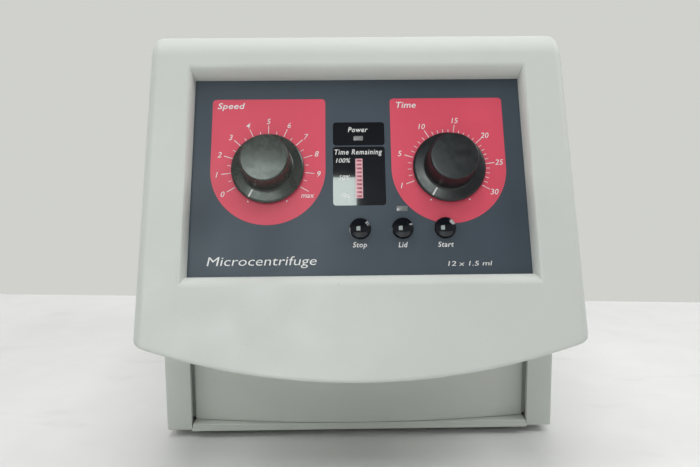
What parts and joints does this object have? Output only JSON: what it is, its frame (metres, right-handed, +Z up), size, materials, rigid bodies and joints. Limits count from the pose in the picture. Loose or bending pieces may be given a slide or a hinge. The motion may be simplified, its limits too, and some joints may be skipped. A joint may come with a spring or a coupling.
{
  "type": "microcentrifuge",
  "caption": "Benchtop microcentrifuge: leaning control panel with speed and time dials, hinged lid over a fixed-angle rotor, motor and latch inside.",
  "frame": {"origin": "centre of the bounding box's base, on the surface the rubber feet stand on", "axes": "+Z up, +X to the operator's right, the control panel faces -Y"},
  "size_m": [0.221, 0.3146, 0.23],
  "materials": {
    "housing": "fine textured light grey moulded plastic",
    "base_plastic": "fine textured grey moulded plastic",
    "rubber": "matte black rubber",
    "panel_film": "dark slate grey printed panel film",
    "window": "glossy black display window",
    "lamp_lens": "unlit frosted lens",
    "bar_lens": "pale pink bar display lens",
    "black_plastic": "smooth black plastic",
    "black_moulding": "matte black moulded plastic",
    "steel": "brushed stainless steel",
    "zinc_steel": "zinc plated steel",
    "anodised": "grey anodised aluminium",
    "circuit_board": "green circuit board",
    "winding": "enamelled copper winding on its core"
  },
  "bodies": {
    "housing": {"upper_housing": "housing", "chamber_deck": "housing", "rear_panel": "housing", "base_pan": "base_plastic", "front_apron": "base_plastic", "foot_front_left": "rubber", "foot_front_right": "rubber", "foot_rear_left": "rubber", "foot_rear_right": "rubber", "lid_gasket": "rubber", "shaft_seal": "rubber", "motor_isolator_1": "rubber", "motor_isolator_2": "rubber", "motor_isolator_3": "rubber", "control_panel": "panel_film", "power_pane": "window", "time_pane": "window", "power_lamp": "lamp_lens", "lid_lamp": "lamp_lens", "time_bar": "bar_lens", "power_inlet": "black_moulding", "fuse_drawer": "black_moulding", "power_switch_frame": "black_moulding", "latch_solenoid": "black_moulding", "chamber_bowl": "steel", "hinge_pin_left": "steel", "hinge_pin_right": "steel", "upper_bearing": "steel", "lower_bearing": "steel", "guard_ring": "zinc_steel", "latch_frame": "zinc_steel", "motor_frame": "zinc_steel", "motor_stator": "zinc_steel", "motor_capacitor": "zinc_steel", "speed_potentiometer": "zinc_steel", "time_potentiometer": "zinc_steel", "motor_top_bell": "anodised", "motor_bottom_bell": "anodised", "control_board": "circuit_board", "power_board": "circuit_board", "transformer": "winding"},
    "lid": {"lid_shell": "housing", "lid_liner": "housing", "lid_striker": "zinc_steel"},
    "rotor": {"rotor": "anodised", "rotor_nut": "black_moulding", "motor_shaft": "steel", "cooling_fan": "black_moulding"},
    "speed_dial": {"speed_knob": "black_plastic", "speed_shaft": "steel"},
    "time_dial": {"time_knob": "black_plastic", "time_shaft": "steel"},
    "stop_key": {"stop_button": "black_plastic"},
    "lid_key": {"lid_button": "black_plastic"},
    "start_key": {"start_button": "black_plastic"},
    "bolt": {"latch_bolt": "steel"},
    "rocker": {"power_rocker": "black_plastic"}
  },
  "joints": [
    {"name": "lid_hinge", "type": "hinge", "parent": "housing", "child": "lid", "pos_m": [0, 0.131, 0.219], "axis": [-1, 0, 0], "range_deg": [0, 95]},
    {"name": "rotor_spin", "type": "hinge", "parent": "housing", "child": "rotor", "pos_m": [0, 0.03, 0.16], "axis": [0, 0, 1], "continuous": true},
    {"name": "speed_turn", "type": "hinge", "parent": "housing", "child": "speed_dial", "pos_m": [-0.0474, -0.11217, 0.1531], "axis": [0, 0.9397, -0.342], "range_deg": [0, 300]},
    {"name": "time_turn", "type": "hinge", "parent": "housing", "child": "time_dial", "pos_m": [0.0474, -0.11217, 0.1531], "axis": [0, 0.9397, -0.342], "range_deg": [0, 300]},
    {"name": "stop_press", "type": "slide", "parent": "housing", "child": "stop_key", "axis": [0, 0.9397, -0.342], "range_m": [0, 0.0015], "stiffness_N_per_m": 400, "springref_m": -0.002},
    {"name": "lid_press", "type": "slide", "parent": "housing", "child": "lid_key", "axis": [0, 0.9397, -0.342], "range_m": [0, 0.0015], "stiffness_N_per_m": 400, "springref_m": -0.002},
    {"name": "start_press", "type": "slide", "parent": "housing", "child": "start_key", "axis": [0, 0.9397, -0.342], "range_m": [0, 0.0015], "stiffness_N_per_m": 400, "springref_m": -0.002},
    {"name": "bolt_slide", "type": "slide", "parent": "housing", "child": "bolt", "axis": [0, 1, 0], "range_m": [0, 0.006], "stiffness_N_per_m": 200, "springref_m": -0.003},
    {"name": "rocker_tip", "type": "hinge", "parent": "housing", "child": "rocker", "pos_m": [-0.014, 0.1453, 0.042], "axis": [1, 0, 0], "range_deg": [0, 20]}
  ]
}
